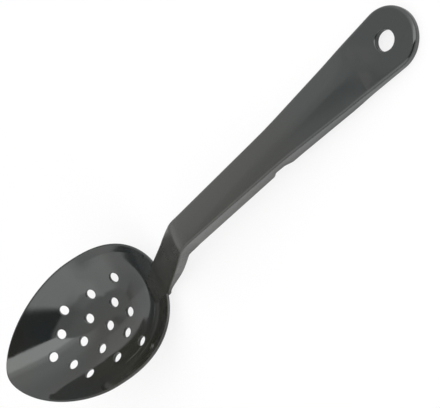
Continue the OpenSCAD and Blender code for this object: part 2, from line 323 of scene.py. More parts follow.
class Skin:
    """A closed surface gathered from patches, each with the normals that it is shaded with."""

    WELD = 1e-4

    def __init__(self):
        self.points = []
        self.normals = []
        self.faces = []
        self.count = 0

    def patch(self, points, normals, faces):
        """Points with their normals, and faces that count from the first of them."""
        self.points.append(np.asarray(points, float).reshape(-1, 3))
        self.normals.append(unit(np.asarray(normals, float).reshape(-1, 3)))
        self.faces += [[i + self.count for i in face] for face in faces]
        self.count += len(self.points[-1])

    def grid(self, points, normals, closed=False):
        """Quads between rows of points. A closed grid joins its last column to its first."""
        rows, columns = points.shape[:2]
        last = columns if closed else columns - 1
        faces = []
        for i in range(rows - 1):
            for j in range(last):
                k = (j + 1) % columns
                faces.append([i * columns + j, i * columns + k,
                              (i + 1) * columns + k, (i + 1) * columns + j])
        self.patch(points, normals, faces)

    def piece(self, name):
        """The surface as a Blender object, laid down, with shared corners welded."""
        points = np.concatenate(self.points)
        normals = np.concatenate(self.normals)
        keys = np.round(points / self.WELD).astype(np.int64)
        _, first, merged = np.unique(keys, axis=0, return_index=True, return_inverse=True)
        merged = merged.reshape(-1)
        faces, corner_normals = [], []
        for face in self.faces:
            kept = [i for n, i in enumerate(face) if merged[i] != merged[face[n - 1]]]
            if len({merged[i] for i in kept}) < 3:
                continue
            a, b, c = (points[kept[n]] for n in (0, 1, 2))
            facing = np.cross(b - a, c - a)
            if len(kept) == 4:
                facing = facing + np.cross(c - a, points[kept[3]] - a)
            if facing @ normals[kept].sum(0) < 0:
                kept = kept[::-1]
            faces.append([int(merged[i]) for i in kept])
            corner_normals += kept
        mesh = bpy.data.meshes.new(name)
        mesh.from_pydata([LAID_DOWN @ Vector(p * MM) for p in points[first]], [], faces)
        mesh.shade_smooth()
        turn = np.array(LAID_DOWN.to_3x3())
        mesh.normals_split_custom_set((normals[corner_normals] @ turn.T).tolist())
        mesh.update()
        piece = bpy.data.objects.new(name, mesh)
        bpy.context.scene.collection.objects.link(piece)
        return piece


def triangulated(rings, inner_points):
    """Points and triangles of a flat region between its outer ring and the rings of its holes."""
    points, edges, ring_of = [], [], []
    for number, ring in enumerate(rings):
        start, size = len(points), len(ring)
        points += [Vector(p) for p in ring]
        edges += [(start + i, start + (i + 1) % size) for i in range(size)]
        ring_of += [number] * size
    ring_of += [0] * len(inner_points)
    points += [Vector(p) for p in inner_points]
    # Type 1 keeps the triangles inside the outer ring
    found, _, faces, _, _, _ = delaunay_2d_cdt(points, edges, [], 1, CDT_EPSILON)
    # With no point added or merged, the faces count the points that went in
    assert len(found) == len(points)
    kept = [f for f in faces if not (ring_of[f[0]] == ring_of[f[1]] == ring_of[f[2]] > 0)]
    return np.concatenate([np.reshape(p, (-1, 2)) for p in (*rings, inner_points)]), kept


# Bowl


def outline_table(inset):
    """Distance from the deepest place to the rim's outline, for evenly spaced directions."""
    a = np.linspace(0, math.pi / 2, OUTLINE_SAMPLES)
    centre = BOWL_WIDEST - BOWL_DEEPEST
    side = BOWL_W / 2 - inset
    rear_x = centre + (BOWL_L - BOWL_WIDEST - inset) * np.cos(a) ** (2 / REAR_POWERS[0])
    rear_y = side * np.sin(a) ** (2 / REAR_POWERS[1])
    tip_x = centre - (BOWL_WIDEST - inset) * np.cos(a) ** (2 / TIP_POWERS[0])
    tip_y = side * np.sin(a) ** (2 / TIP_POWERS[1])
    x = np.concatenate([rear_x, tip_x[-2::-1]])
    y = np.concatenate([rear_y, tip_y[-2::-1]])
    even = np.linspace(0, math.pi, OUTLINE_SAMPLES // 2 + 1)
    half = np.interp(even, np.arctan2(y, x), np.hypot(x, y))
    table = np.concatenate([half, half[-2:0:-1]])
    waves = np.arange(OUTLINE_SAMPLES // 2 + 1)
    kept = 1 - (1 - np.exp(-0.5 * (waves * OUTLINE_BLEND) ** 2)) ** 2
    return np.fft.irfft(np.fft.rfft(table) * kept, OUTLINE_SAMPLES)


EDGE_TABLE = outline_table(0.0)
FOOT_TABLE = outline_table(RIM_W)
TABLE_ANGLES = np.arange(OUTLINE_SAMPLES) * 2 * math.pi / OUTLINE_SAMPLES


def reach(angle, inset):
    """Distance from the deepest place to the outline that is set in by that much."""
    edge = np.interp(angle, TABLE_ANGLES, EDGE_TABLE, period=2 * math.pi)
    foot = np.interp(angle, TABLE_ANGLES, FOOT_TABLE, period=2 * math.pi)
    return edge + (foot - edge) * inset / RIM_W


def rise_power(angle):
    """Power of the floor's rise in that direction: the least to the sides."""
    to_rear = np.clip(np.cos(angle), 0, 1)
    to_tip = np.clip(-np.cos(angle), 0, 1)
    rear = REAR_RISE[0] * to_rear ** REAR_RISE[1]
    tip = TIP_RISE[0] * to_tip ** TIP_RISE[1] - TIP_RISE_CUT[0] * to_tip ** TIP_RISE_CUT[1]
    return RISE_POWER + rear + tip


def floor_z(x, y, inset, depth):
    """Height of the floor whose edge is that outline, at the foot of the rim's band."""
    angle = np.arctan2(y, x - BOWL_DEEPEST)
    share = np.hypot(x - BOWL_DEEPEST, y) / reach(angle, inset)
    return -RIM_H - (depth - RIM_H) * (1 - share ** rise_power(angle))


def inner_z(x, y):
    """Height of the inner floor, with its sag."""
    angle = np.arctan2(y, x - BOWL_DEEPEST)
    share = np.hypot(x - BOWL_DEEPEST, y) / reach(angle, RIM_W)
    outer = np.clip((share - SAG_START_SHARE) / (1 - SAG_START_SHARE), 0, 1)
    to_side = np.clip((np.cos(angle) - SAG_LAST_COSINE) / -SAG_LAST_COSINE, 0, 1)
    sag = BOWL_SAG * to_side ** 2 * (3 - 2 * to_side) * np.sin(math.pi * outer) ** 2
    return floor_z(x, y, RIM_W, BOWL_DEPTH) - sag


def outer_z(x, y):
    """Height of the outer floor."""
    return floor_z(x, y, 0.0, BOWL_DEPTH + BOWL_WALL)


def slopes(height, x, y):
    """Slopes of that height along x and y."""
    step = SLOPE_STEP
    return ((height(x + step, y) - height(x - step, y)) / (2 * step),
            (height(x, y + step) - height(x, y - step)) / (2 * step))


def hole_places():
    """A middle row of four drain holes and staggered rows beside it."""
    middle = [(HOLE_FIRST + i * HOLE_PITCH, 0.0) for i in range(3)]
    middle.append((HOLE_FIRST + (2 + LAST_GAP_SHARE) * HOLE_PITCH, 0.0))
    inner = [(HOLE_FIRST + (i + 0.5) * HOLE_PITCH, side * ROW_INNER)
             for i in range(3) for side in (-1, 1)]
    outer = [(HOLE_FIRST + i * HOLE_PITCH, side * ROW_OUTER)
             for i in range(1, 4) for side in (-1, 1)]
    return middle + inner + outer


def hole_frame(place):
    """Centre of a drain hole on the inner floor, and its axis with two directions across it."""
    x, y = place
    dx, dy = slopes(inner_z, x, y)
    a = math.atan(dy) * HOLE_LEAN_SHARE
    b = -math.atan(dx) * HOLE_LEAN_SHARE
    axis = np.array([math.sin(b) * math.cos(a), -math.sin(a), math.cos(b) * math.cos(a)])
    across = unit(np.array([axis[2], 0.0, -axis[0]]))
    return np.array([x, y, float(inner_z(x, y))]), axis, across, np.cross(axis, across)


def on_surface(height, points, axis):
    """The points moved along the axis until they lie on that floor."""
    for _ in range(SURFACE_ROUNDS):
        dx, dy = slopes(height, points[:, 0], points[:, 1])
        above = points[:, 2] - height(points[:, 0], points[:, 1])
        points = points - (above / (axis[2] - dx * axis[0] - dy * axis[1]))[:, None] * axis
    return points


def hole_lip(height, hole, side):
    """Rows of points and normals from the floor round a hole's edge onto its wall.
    The side is 1 at the inner floor and -1 at the outer one."""
    centre, axis, across, up = hole
    a = np.arange(HOLE_STEPS) * 2 * math.pi / HOLE_STEPS
    out = np.cos(a)[:, None] * across + np.sin(a)[:, None] * up
    start = on_surface(height, centre + (HOLE_D / 2 + HOLE_ROUND) * out, axis)
    edge = on_surface(height, centre + HOLE_D / 2 * out, axis)
    end = edge - side * HOLE_ROUND * axis
    rows, normals = [], []
    for t in np.linspace(0, 1, ROUND_STEPS + 1):
        rows.append(start * (1 - t) ** 2 + edge * 2 * t * (1 - t) + end * t ** 2)
        way = (edge - start) * (1 - t) + (end - edge) * t
        round_it = np.roll(rows[-1], -1, 0) - np.roll(rows[-1], 1, 0)
        normals.append(side * unit(np.cross(round_it, way)))
    dx, dy = slopes(height, start[:, 0], start[:, 1])
    normals[0] = side * unit(np.stack([-dx, -dy, np.ones_like(dx)], 1))
    normals[-1] = -out
    return np.array(rows), np.array(normals)


def lip_profile(angle):
    """The rounded lip over one spoke of the bowl, as (inset, height), from floor to floor."""
    cos, sin = math.cos(angle), math.sin(angle)

    def floor_at(height, inset):
        """Height of that floor, that far inside the outline."""
        r = reach(angle, inset)
        return float(height(BOWL_DEEPEST + r * cos, r * sin))

    inside = RIM_W + LIP_INSIDE
    z_in = floor_at(inner_z, inside)
    slope_in = (floor_at(inner_z, inside - SLOPE_STEP) - z_in) / SLOPE_STEP
    z_out = floor_at(outer_z, LIP_OUTSIDE)
    # The inner face leans from the land to the foot of the band, and the floor bends into it
    bend_steps, inner_steps, outer_steps, band_steps = LIP_STEPS
    foot_slope = (floor_at(inner_z, RIM_W - SLOPE_STEP) + RIM_H) / SLOPE_STEP
    land = min(max(RIM_W - RIM_H / foot_slope, LEAST_LAND), MOST_LAND)
    steep = RIM_H / (RIM_W - land)
    face = math.atan(steep)
    back = LIP_INNER_R * math.tan(face / 2)
    start = (land + back * math.cos(face), -back * math.sin(face))
    return chain(
        eased((inside, z_in), slope_in, start, steep, bend_steps),
        arc((land - back, -LIP_INNER_R), LIP_INNER_R, 90 - math.degrees(face), 90, inner_steps),
        line((land - back, 0), (LIP_OUTER_R, 0), 1),
        arc((LIP_OUTER_R, -LIP_OUTER_R), LIP_OUTER_R, 90, 180, outer_steps),
        line((0, -LIP_OUTER_R), (0, -LIP_BAND), 1),
        bezier((0, -LIP_BAND), (0, -RIM_H), (LIP_OUTSIDE, z_out), band_steps))


def make_bowl():
    """The perforated floor with its rounded lip and softened drain holes."""
    skin = Skin()
    angles = np.arange(SPOKES) * 2 * math.pi / SPOKES
    lips = [lip_profile(a) for a in angles]
    inset = np.array([p[0][:, 0] for p in lips])
    z = np.array([p[0][:, 1] for p in lips])
    cos, sin = np.cos(angles)[:, None], np.sin(angles)[:, None]
    r = reach(angles[:, None], inset)
    points = np.stack([BOWL_DEEPEST + r * cos, r * sin, z], 2)
    ways = np.array([p[1] for p in lips])
    ways = np.stack([-ways[:, :, 0] * cos, -ways[:, :, 0] * sin, ways[:, :, 1]], 2)
    round_it = np.roll(points, -1, 0) - np.roll(points, 1, 0)
    normals = unit(np.cross(ways, round_it))
    holes = [hole_frame(place) for place in hole_places()]
    wall_ends = {}
    # The inner floor meets the first column of the lip, and the outer floor meets its last
    for height, side, column in ((inner_z, 1, 0), (outer_z, -1, -1)):
        rings = [hole_lip(height, hole, side) for hole in holes]
        edge = points[:, column]
        flat, faces = triangulated([edge[:, :2]] + [ring[0][0][:, :2] for ring in rings],
                                   floor_grid(edge, [ring[0][0] for ring in rings]))
        dx, dy = slopes(height, flat[:, 0], flat[:, 1])
        floor_normals = side * np.stack([-dx, -dy, np.ones_like(dx)], 1)
        heights = np.array(height(flat[:, 0], flat[:, 1]))
        known = np.concatenate([edge] + [ring[0][0] for ring in rings])
        heights[:len(known)] = known[:, 2]
        skin.patch(np.column_stack([flat, heights]), floor_normals, faces)
        normals[:, column] = unit(floor_normals[:SPOKES])
        for lip, lip_normals in rings:
            skin.grid(lip, lip_normals, closed=True)
        wall_ends[side] = [lip[-1] for lip, _ in rings]
    for hole, top, bottom in zip(holes, wall_ends[1], wall_ends[-1]):
        out = top - hole[0]
        out = out - (out @ hole[1])[:, None] * hole[1]
        skin.grid(np.array([top, bottom]), np.array([-out, -out]), closed=True)
    skin.grid(np.swapaxes(points, 0, 1), np.swapaxes(normals, 0, 1), closed=True)
    return skin.piece("bowl_shell")


def floor_grid(edge, hole_rings):
    """Staggered points over a floor, clear of its edge, with a ring of points round each hole."""
    points = []
    for ring in hole_rings:
        middle = ring[:, :2].mean(0)
        points.append(middle + (ring[:, :2] - middle) * (1 + HOLE_RING_GAP / (HOLE_D / 2)))
    spread = np.arange(-BOWL_L, 2 * BOWL_L, FLOOR_STEP)
    rows = np.arange(-BOWL_W, BOWL_W, FLOOR_STEP * math.sin(math.radians(60)))
    grid = np.array([(x + FLOOR_STEP / 2 * (n % 2), y)
                     for n, y in enumerate(rows) for x in spread])
    angle = np.arctan2(grid[:, 1], grid[:, 0] - BOWL_DEEPEST)
    edge_angle = np.arctan2(edge[:, 1], edge[:, 0] - BOWL_DEEPEST)
    edge_r = np.hypot(edge[:, 1], edge[:, 0] - BOWL_DEEPEST)
    limit = np.interp(angle, edge_angle, edge_r, period=2 * math.pi)
    kept = (np.hypot(grid[:, 0] - BOWL_DEEPEST, grid[:, 1])
            < limit - FLOOR_STEP * EDGE_CLEAR_SHARE)
    for ring in hole_rings:
        middle = ring[:, :2].mean(0)
        kept &= np.hypot(*(grid - middle).T) > HOLE_D / 2 + HOLE_ROUND + FLOOR_STEP
    return np.concatenate(points + [grid[kept]])


# Neck and handle


def half_w(s):
    """Half the width at a distance s along the handle, with a soft start of the flare."""
    slope = (HANDLE_MID_W - HANDLE_FRONT_W) / 2 / FLARE_START
    past = FLARE_BLEND * np.logaddexp(0, (s - FLARE_START) / FLARE_BLEND)
    return HANDLE_FRONT_W / 2 + slope * s + (math.tan(FLARE_ANGLE) - slope) * past


def plain_h(s):
    """Depth of the side walls without the pan notch."""
    start, end = NOTCH_AT - NOTCH_L / 2, NOTCH_AT + NOTCH_L / 2
    front = lerp(WALL_FRONT_H, WALL_MID_H, s / start)
    rear = lerp(WALL_REAR_H, END_T, (s - end) / (HANDLE_TIP - end))
    return lerp(front, rear, smooth((s - start) / NOTCH_L))


def wall_h(s):
    """Depth of the side walls with the pan notch."""
    cut = (smooth((s - NOTCH_AT + NOTCH_L / 2) / NOTCH_FLANK)
           * smooth((NOTCH_AT + NOTCH_L / 2 - s) / NOTCH_FLANK))
    return plain_h(s) - NOTCH_DEPTH * cut


def corner_h(place, angle):
    """Depth of a side wall at that place and slope, whose foot is on the line under the bend."""
    offset = place - CORNER
    above = plain_h(BEND_BACK) + offset @ square_to(HANDLE_ANGLE)
    behind = offset @ along(HANDLE_ANGLE) - BEND_BACK
    turn = angle - HANDLE_ANGLE
    return (above + FOOT_SLOPE * behind) / (math.cos(turn) - FOOT_SLOPE * math.sin(turn))


def blended_max(a, b, blend):
    """The greater of two numbers, with a soft change from one to the other."""
    return max(a, b) + max(blend - abs(a - b), 0) ** 2 / (4 * blend)


class Station:
    """One cross-section: its place (x, z), slope, half width, wall depth and other sizes."""

    def __init__(self, place, angle, half, depth, fullness, deck=DECK_T, edge_r=EDGE_R):
        self.place = place
        self.angle = angle
        self.half = half
        self.depth = depth
        self.fullness = fullness
        self.deck = deck
        self.edge_r = edge_r


def neck_station(q):
    """A station of the straight neck, at a distance q above its foot."""
    t = q / NECK_L
    width = lerp(lerp(NECK_BASE_W, NECK_MID_W, min(2 * t, 1)), HANDLE_FRONT_W,
                 max(2 * t - 1, 0) ** 2)
    flare = BASE_FLARE * max(1 - q / BASE_FLARE_L, 0) ** 2
    place = NECK_FOOT + q * along(NECK_ANGLE)
    depth = lerp(NECK_BASE_H, NECK_WALL_H, smooth(t / NECK_GROWN_SHARE))
    return Station(place, NECK_ANGLE, width / 2 + flare,
                   blended_max(depth, corner_h(place, NECK_ANGLE), FOOT_BLEND), smooth(2 * t))


def root_station(q):
    """A station of the hollow sweep, at a distance q below the neck's foot."""
    angle = NECK_ANGLE - q / ROOT_R
    centre = NECK_FOOT + ROOT_R * square_to(NECK_ANGLE)
    ease = smooth(q / ROOT_EASE)
    end = max((q - ROOT_L + ROOT_END_L) / ROOT_END_L, 0) ** 2
    half = lerp(NECK_BASE_W / 2 + BASE_FLARE, ROOT_END_W / 2, (q / ROOT_L) ** 2)
    return Station(centre - (ROOT_R + ROOT_DIP * end) * square_to(angle), angle, half,
                   lerp(NECK_BASE_H, ROOT_DEPTH + ROOT_SKIRT, ease), 0.0,
                   lerp(DECK_T, ROOT_DEPTH, ease), lerp(EDGE_R, ROOT_EDGE_R, ease))


def bend_station(t):
    """A station of the bend between neck and handle, from 0 at the neck to 1 at the handle."""
    angle = lerp(NECK_ANGLE, HANDLE_ANGLE, t)
    centre = CORNER + BEND_BACK * along(HANDLE_ANGLE) - BEND_R * square_to(HANDLE_ANGLE)
    place = centre + BEND_R * square_to(angle)
    start = neck_station(NECK_L - BEND_BACK).half
    return Station(place, angle, lerp(start, half_w(BEND_BACK), t), corner_h(place, angle), 1.0)


def handle_station(s):
    """A station of the handle, at a distance s behind the bend's corner."""
    fullness = 1 - smooth((s - END_START + CROWN_FADE) / CROWN_FADE)
    deck = lerp(DECK_T, HANG_T, smooth((s - END_START + HANG_EASE) / HANG_EASE))
    return Station(CORNER + s * along(HANDLE_ANGLE), HANDLE_ANGLE, half_w(s), wall_h(s),
                   fullness, deck)


def edge_profile(depth, deck, edge_r, splay=0.0, lean=0.0):
    """From the top face over its rounded edge, down the side wall, round its foot, up its inner
    face and onto the underside of the plate, as (inset, height). The lean is the angle, in
    degrees, at which the crowned top face runs into the edge."""
    wall = max(depth - deck, LEAST_WALL)
    inner_r = min(INNER_R, ROUND_SHARE * wall)
    foot_in = min(FOOT_R, ROUND_SHARE * wall)
    foot_out = min(FOOT_R, ROUND_SHARE * (depth - edge_r))
    drop = edge_r * math.cos(math.radians(lean))
    side, side_way = line((0, -drop), (-splay, -depth + foot_out), SIDE_STEPS)
    t = np.linspace(0, 1, SIDE_STEPS + 1)
    side[:, 0] = -splay * t ** 2
    side_way[:, 0] = -splay * 2 * t
    # Insets grow inwards, so an arc that runs outwards is mirrored
    top = arc((0, -drop), edge_r, 90 - lean, 0, EDGE_STEPS)
    top = (np.stack([edge_r - top[0][:, 0], top[0][:, 1]], 1),
           np.stack([-top[1][:, 0], top[1][:, 1]], 1))
    outer = arc((0, 0), foot_out, 0, -90, FOOT_STEPS)
    outer = (np.stack([foot_out - splay - outer[0][:, 0], outer[0][:, 1] - depth + foot_out], 1),
             np.stack([-outer[1][:, 0], outer[1][:, 1]], 1))
    inner = arc((WALL_T - splay - foot_in, -depth + foot_in), foot_in, -90, 0, INNER_ROUND_STEPS)
    corner = arc((0, 0), inner_r, 180, 90, INNER_ROUND_STEPS)
    corner = (np.stack([corner[0][:, 0] + WALL_T + inner_r, corner[0][:, 1] - deck - inner_r], 1),
              corner[1])
    sole = line((foot_out - splay, -depth), (WALL_T - splay - foot_in, -depth), 1)
    inner_side = line((WALL_T - splay, -depth + foot_in), (WALL_T, -deck - inner_r), INNER_STEPS)
    return chain(top, (side, side_way), outer, sole, inner, inner_side, corner)


def section(station):
    """Half of a station's outline, as (width, height), from the top's middle to the underside's.
    The second array holds its directions."""
    w, r = station.half, station.edge_r
    curve = CROWN * station.fullness / (w - r) ** 2
    lean = 0.0
    for _ in range(LEAN_ROUNDS):
        lean = math.atan(2 * curve * (w - r + r * math.sin(lean)))
    reach_w = w - r + r * math.sin(lean)
    top_y = np.linspace(0, reach_w, CROWN_POINTS)
    top = (np.stack([top_y, -curve * top_y ** 2], 1),
           np.stack([np.ones(CROWN_POINTS), -2 * curve * top_y], 1))
    points, ways = edge_profile(station.depth, station.deck, r,
                                WALL_SPLAY * station.fullness, math.degrees(lean))
    # The edge starts where the crown ends, a little below the top
    shift = -curve * reach_w ** 2
    lift = np.clip((points[:, 1] + station.depth) / station.depth, 0, 1)
    side = (np.stack([w - points[:, 0], points[:, 1] + shift * lift], 1),
            np.stack([-ways[:, 0], ways[:, 1]], 1))
    under = line(side[0][-1], (0, side[0][-1, 1]), UNDER_STEPS)
    return chain(top, side, under)


def swept(stations):
    """Points and normals of a closed sweep, one row for each station."""
    points, ways = [], []
    for st in stations:
        half, half_ways = section(st)
        ring = np.concatenate([half, (half * (-1, 1))[-2:0:-1]])
        ring_ways = np.concatenate([half_ways, (half_ways * (1, -1))[-2:0:-1]])
        up = square_to(st.angle)
        points.append(np.column_stack([st.place[0] + ring[:, 1] * up[0], ring[:, 0],
                                       st.place[1] + ring[:, 1] * up[1]]))
        ways.append(np.column_stack([ring_ways[:, 1] * up[0], ring_ways[:, 0],
                                     ring_ways[:, 1] * up[1]]))
    points, ways = np.array(points), np.array(ways)
    run = np.concatenate([[0], np.cumsum([math.dist(a.place, b.place)
                                          for a, b in zip(stations, stations[1:])])])
    normals = unit(np.cross(np.gradient(points, run, axis=0), ways))
    return points, normals


def cap(skin, ring, station, side):
    """Closes a sweep's end. The side is 1 where it faces along the path and -1 otherwise."""
    up = square_to(station.angle)
    heights = (ring[:, [0, 2]] - station.place) @ up
    _, faces = triangulated([np.stack([ring[:, 1], heights], 1)], [])
    way = along(station.angle) * side
    skin.patch(ring, np.repeat([[way[0], 0, way[1]]], len(ring), 0), faces)


def make_neck_and_handle():
    """Both pieces come from one sweep, so that they meet with the same section and shading."""
    root = [root_station(q) for q in np.linspace(ROOT_L, 0, ROOT_CUTS)[:-1]]
    low = [neck_station(q) for q in np.linspace(0, BASE_FLARE_L, FLARE_CUTS)[:-1]]
    neck = [neck_station(q) for q in np.linspace(BASE_FLARE_L, NECK_L - BEND_BACK, NECK_CUTS)[:-1]]
    bend = [bend_station(t) for t in np.linspace(0, 1, BEND_CUTS)]
    cut = len(root) + len(low) + len(neck) + len(bend) - 1
    marks = (BEND_BACK, NOTCH_AT - NOTCH_L / 2, NOTCH_AT + NOTCH_L / 2, END_START - HANG_EASE,
             END_START)
    spots = [np.linspace(start, end, count)[1:]
             for start, end, count in zip(marks, marks[1:], HANDLE_CUTS)]
    handle = [handle_station(s) for s in np.concatenate(spots)]
    stations = root + low + neck + bend + handle
    points, normals = swept(stations)
    pieces = []
    for name, rows in (("neck", slice(0, cut + 1)), ("handle", slice(cut, None))):
        skin = Skin()
        skin.grid(points[rows], normals[rows], closed=True)
        cap(skin, points[rows][0], stations[rows][0], -1)
        cap(skin, points[rows][-1], stations[rows][-1], 1)
        pieces.append(skin.piece(name))
    return pieces


# Hang end


def end_outline():
    """Points (s, width) round the hang end from its seam to its seam, with their outward ways."""
    start = np.array([END_START, half_w(END_START)])
    arc_points, _ = arc((HANDLE_L, 0), END_R, 90 + math.degrees(FLARE_ANGLE),
                        -90 - math.degrees(FLARE_ANGLE), END_ARC_STEPS)
    side, _ = line(start, arc_points[0], END_SIDE_STEPS)
    out = np.array([-math.sin(FLARE_ANGLE), math.cos(FLARE_ANGLE)])
    out_ways = np.repeat([out], END_SIDE_STEPS, 0)
    ways = np.concatenate([out_ways, (arc_points - (HANDLE_L, 0)) / END_R, out_ways * (1, -1)])
    # At the seam the edge faces straight to the side, as that of the handle does
    ways[0] = (0, 1)
    ways[-1] = (0, -1)
    return np.concatenate([side[:-1], arc_points, (side * (1, -1))[-2::-1]]), ways


def on_end(flat, heights):
    """Points (s, width) at heights square to the handle, as points of the drawn spoon."""
    heights = np.broadcast_to(heights, flat.shape[:-1])
    up, on = square_to(HANDLE_ANGLE), along(HANDLE_ANGLE)
    return np.stack([CORNER[0] + flat[..., 0] * on[0] + heights * up[0], flat[..., 1],
                     CORNER[1] + flat[..., 0] * on[1] + heights * up[1]], -1)


def end_ways(ways, heights):
    """Directions on the hang end as directions of the drawn spoon."""
    return on_end(ways, heights) - on_end(np.zeros_like(ways), 0.0)


def make_hang_end():
    """The round end with its skirt, its flat plate and the softened hang hole."""
    skin = Skin()
    base, out = end_outline()
    profiles = [edge_profile(plain_h(p[0]), HANG_T, EDGE_R) for p in base]
    inset = np.array([p[0][:, 0] for p in profiles])
    heights = np.array([p[0][:, 1] for p in profiles])
    flat = base[:, None] - inset[..., None] * out[:, None]
    points = on_end(flat, heights)
    ways = np.array([p[1] for p in profiles])
    ways = end_ways(-ways[..., :1] * out[:, None], ways[..., 1])
    round_it = np.gradient(points, axis=0)
    skin.grid(np.swapaxes(points, 0, 1), np.swapaxes(np.cross(round_it, ways), 0, 1))
    a = np.arange(HANG_STEPS) * 2 * math.pi / HANG_STEPS
    ring_out = np.stack([np.cos(a), np.sin(a)], 1)
    middle = np.array([HANG_AT, 0.0])
    hole_r = HANG_D / 2
    wall, wall_ways = chain(
        arc((hole_r + HANG_ROUND, -HANG_ROUND), HANG_ROUND, 90, 180, HANG_ROUND_STEPS),
        line((hole_r, -HANG_ROUND), (hole_r, HANG_ROUND - HANG_T), 1),
        arc((hole_r + HANG_ROUND, HANG_ROUND - HANG_T), HANG_ROUND, 180, 270, HANG_ROUND_STEPS))
    hole = on_end(middle + wall[:, None, :1] * ring_out, wall[:, 1:])
    hole_normals = end_ways(wall_ways[:, None, 1:] * ring_out, -wall_ways[:, :1])
    skin.grid(hole, hole_normals, closed=True)
    hole_ring = middle + (hole_r + HANG_ROUND) * ring_out
    guard = middle + (hole_r + 2 * HANG_ROUND) * ring_out[::2]
    seam = []
    # The top meets the first points of the edge's profiles, and the underside meets their last
    for column, height, side in ((0, 0.0, 1), (-1, -HANG_T, -1)):
        edge = flat[:, column]
        closing = line(edge[-1], edge[0], SEAM_STEPS)[0][1:-1]
        seam.append(closing)
        plate, faces = triangulated([np.concatenate([edge, closing]), hole_ring], guard)
        up = end_ways(np.zeros((1, 2)), np.array([float(side)]))
        skin.patch(on_end(plate, height), np.repeat(up, len(plate), 0), faces)
    # The seam's section: top, one edge down, underside, other edge up
    ring = np.concatenate([
        on_end(seam[0], 0.0), points[0], on_end(seam[1], -HANG_T)[::-1], points[-1][::-1]])
    cap(skin, ring, Station(CORNER, HANDLE_ANGLE, 0, 0, 0), -1)
    return skin.piece("round_end")


class Nodes:
    """Short calls for a material's nodes. An input is a number, a tuple or another output."""

    # The Mix node's sockets for colours
    COLOUR_A, COLOUR_B, COLOUR_OUT = 6, 7, 2

    def __init__(self, name):
        self.material = bpy.data.materials.new(name)
        self.material.use_nodes = True
        self.tree = self.material.node_tree
        self.shader = self.tree.nodes["Principled BSDF"]
        self.surface = self.tree.nodes["Material Output"].inputs["Surface"]

    def link(self, value, socket):
        if isinstance(value, (int, float, tuple)):
            socket.default_value = value
        else:
            self.tree.links.new(value, socket)

    def node(self, kind, inputs=(), output=0, **settings):
        node = self.tree.nodes.new("ShaderNode" + kind)
        for name, value in settings.items():
            setattr(node, name, value)
        for socket, value in dict(inputs).items():
            self.link(value, node.inputs[socket])
        return node.outputs[output]

    def math(self, operation, first, second=0.0):
        return self.node("Math", {0: first, 1: second}, operation=operation)

    def range(self, value, low, high, to_low=0.0, to_high=1.0):
        return self.node("MapRange", {"Value": value, "From Min": low, "From Max": high,
                                      "To Min": to_low, "To Max": to_high},
                         interpolation_type="SMOOTHSTEP")

    def noise(self, place, scale, detail, distortion=0.0):
        return self.node("TexNoise", {"Vector": place, "Scale": scale, "Detail": detail,
                                      "Distortion": distortion})

    def colours(self, factor, first, second):
        return self.node("Mix", {"Factor": factor, self.COLOUR_A: first, self.COLOUR_B: second},
                         self.COLOUR_OUT, data_type="RGBA")


# Plastic. A noise is its scale in waves per metre, its detail and, for some, its distortion. A
# range is where a value begins to tell and where it tells in full. Depths are in metres.
OLIVE_BLACK = (0.0190, 0.0185, 0.0140, 1)
BLUE_BLACK = (0.0155, 0.0178, 0.0183, 1)
WORN_BLACK = (0.026, 0.026, 0.024, 1)
GLOSS_TINT = (0.965, 1.0, 0.98, 1)
GLOSS_IOR = 1.68
TINT_NOISE = (16, 3.0, 0.4)
TINT_RANGE = (0.36, 0.64)
# This share of the handle's tint turns from olive to blue between these places along the spoon,
# and the noise gives the rest
BLUE_END_SHARE = 0.75
BLUE_RANGE = (0.045, 0.105)
HAZE_NOISE = (55, 5.0, 0.6)
HAZE_RANGE = (0.35, 0.75)
SMOOTH_ROUGHNESS = 0.055
HAZY_ROUGHNESS = 0.12
# The neck is duller. Along the spoon, the dullness comes in between the first two of these places
# and is gone again between the other two.
NECK_ROUGHNESS = 0.27
DULL_FROM = (-0.064, -0.054)
DULL_TO = (0.016, -0.006)
PEEL_NOISE = (210, 1.0)
PEEL_DEPTH = 0.000006
GRAIN_NOISE = (2600, 2.0)
GRAIN_DEPTH = 0.0000006
# Hairlines: how they are turned, in radians, their waves along and across, and how few there are
SCRATCHES = (((0.0, 0.5, 0.35), 9, 620, 0.69), ((0.3, 0.5, 1.25), 14, 760, 0.70),
             ((0.1, 0.4, -0.55), 11, 540, 0.70))
SCRATCH_NOISE = (1.0, 1.0, 0.15)
SCRATCH_SOFTNESS = 0.05
SCRATCH_DEPTH = 0.000004
SCRATCH_ROUGHNESS = 0.07
SCRATCH_PALE_SHARE = 0.35
WORN_NOISE = (27.5, 3.0)
WORN_RANGE = (0.42, 0.68)
# Edges dulled by handling: their pointiness tells where, and a noise how much, from a least share
EDGE_RANGE = (0.515, 0.57)
EDGE_NOISE = (220, 3.0)
EDGE_NOISE_RANGE = (0.3, 0.7)
LEAST_EDGE_SHARE = 0.3
EDGE_PALE_SHARE = 0.7


